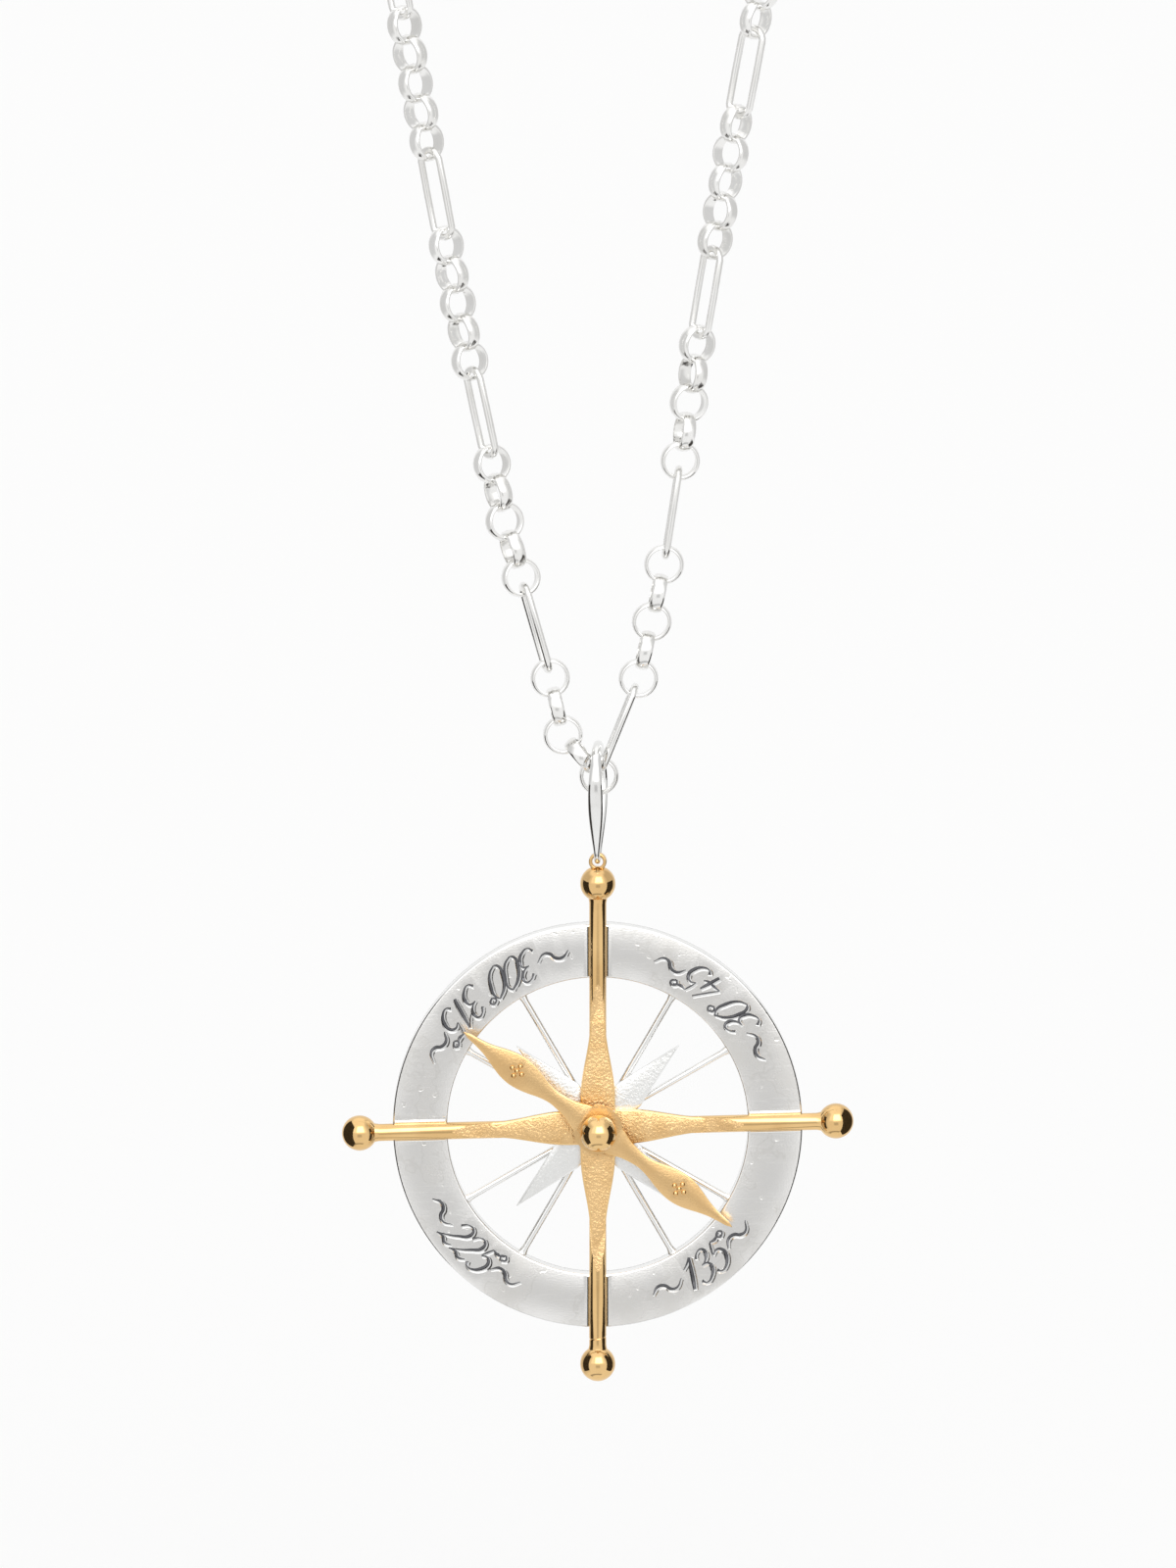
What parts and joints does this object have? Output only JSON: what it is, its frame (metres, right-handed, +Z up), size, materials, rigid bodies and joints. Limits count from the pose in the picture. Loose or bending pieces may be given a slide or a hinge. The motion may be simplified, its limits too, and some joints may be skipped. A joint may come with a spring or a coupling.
{
  "type": "compass pendant on a chain",
  "caption": "Round compass pendant with a four-armed gold cross, silver star and free needle, hanging by a tall bail from a whole necklace chain.",
  "frame": {"origin": "inside of the clasp at the nape, on the loop's middle line, where the neck carries the chain", "axes": "+Z up along the hanging loop, dial facing -Y, +X to the viewer's right"},
  "size_m": [0.0767, 0.0072, 0.2726],
  "materials": {
    "silver": "polished sterling silver",
    "silver_matte": "sandblasted sterling silver with polished edges",
    "gold": "gold plate, sandblasted on the flat blades and polished on the rods and balls"
  },
  "bodies": {
    "chain": {"chain_right": "silver", "chain_left": "silver", "clasp_ring": "silver", "clasp": "silver"},
    "bail": {"bail": "silver"},
    "pendant": {"dial_wheel": "silver", "silver_star": "silver_matte", "gold_cross": "gold", "hub_pin": "gold"},
    "needle": {"needle": "gold"}
  },
  "joints": [
    {"name": "bail_swing", "type": "hinge", "parent": "chain", "child": "bail", "pos_m": [0.00132, 0, -0.22151], "axis": [0.9962, -0.0872, 0], "range_deg": [-20, 20]},
    {"name": "pendant_swing", "type": "hinge", "parent": "bail", "child": "pendant", "pos_m": [0.00132, 0, -0.22917], "axis": [0.0872, 0.9962, 0], "range_deg": [-75, 75]},
    {"name": "needle_spin", "type": "hinge", "parent": "pendant", "child": "needle", "pos_m": [0.00132, 0, -0.24892], "axis": [0, 1, 0], "continuous": true}
  ]
}
